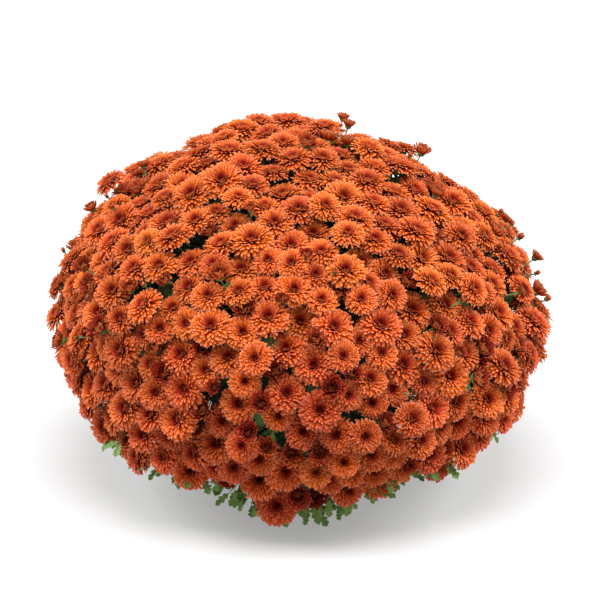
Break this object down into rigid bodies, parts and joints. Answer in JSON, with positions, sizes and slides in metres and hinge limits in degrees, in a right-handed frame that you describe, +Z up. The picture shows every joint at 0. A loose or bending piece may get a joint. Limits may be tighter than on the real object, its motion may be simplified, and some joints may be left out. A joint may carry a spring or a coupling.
{
  "type": "pot chrysanthemum",
  "caption": "Ball-shaped garden chrysanthemum, covered in small double orange blooms on branching leafy stems, in a plain round nursery pot.",
  "frame": {"origin": "centre of the pot's flat base, on the surface it stands on", "axes": "+Z up along the pot's axis, -Y to the front, where the blooms hang lowest, +X to the right seen from the front"},
  "size_m": [0.5004, 0.5118, 0.3703],
  "materials": {
    "pot_plastic": "moulded black plastic with a faint sheen",
    "peat": "dark, crumbly and damp",
    "leaf_green": "soft matt leaf with fine hairs",
    "petal_orange": "satin petals, orange above and red-brown below"
  },
  "bodies": {
    "root": {"pot": "pot_plastic", "growing_medium": "peat", "leafy_stem_01": "leaf_green", "leafy_stem_02": "leaf_green", "leafy_stem_03": "leaf_green", "leafy_stem_04": "leaf_green", "leafy_stem_05": "leaf_green", "leafy_stem_06": "leaf_green", "leafy_stem_07": "leaf_green", "spray_01": "petal_orange", "spray_02": "petal_orange", "spray_03": "petal_orange", "spray_04": "petal_orange", "spray_05": "petal_orange", "spray_06": "petal_orange", "spray_07": "petal_orange", "spray_08": "petal_orange", "spray_09": "petal_orange", "spray_10": "petal_orange", "spray_11": "petal_orange", "spray_12": "petal_orange", "spray_13": "petal_orange", "spray_14": "petal_orange", "spray_15": "petal_orange", "spray_16": "petal_orange", "spray_17": "petal_orange", "spray_18": "petal_orange", "spray_19": "petal_orange", "spray_20": "petal_orange", "spray_21": "petal_orange", "spray_22": "petal_orange", "spray_23": "petal_orange", "spray_24": "petal_orange", "spray_25": "petal_orange"}
  },
  "joints": []
}
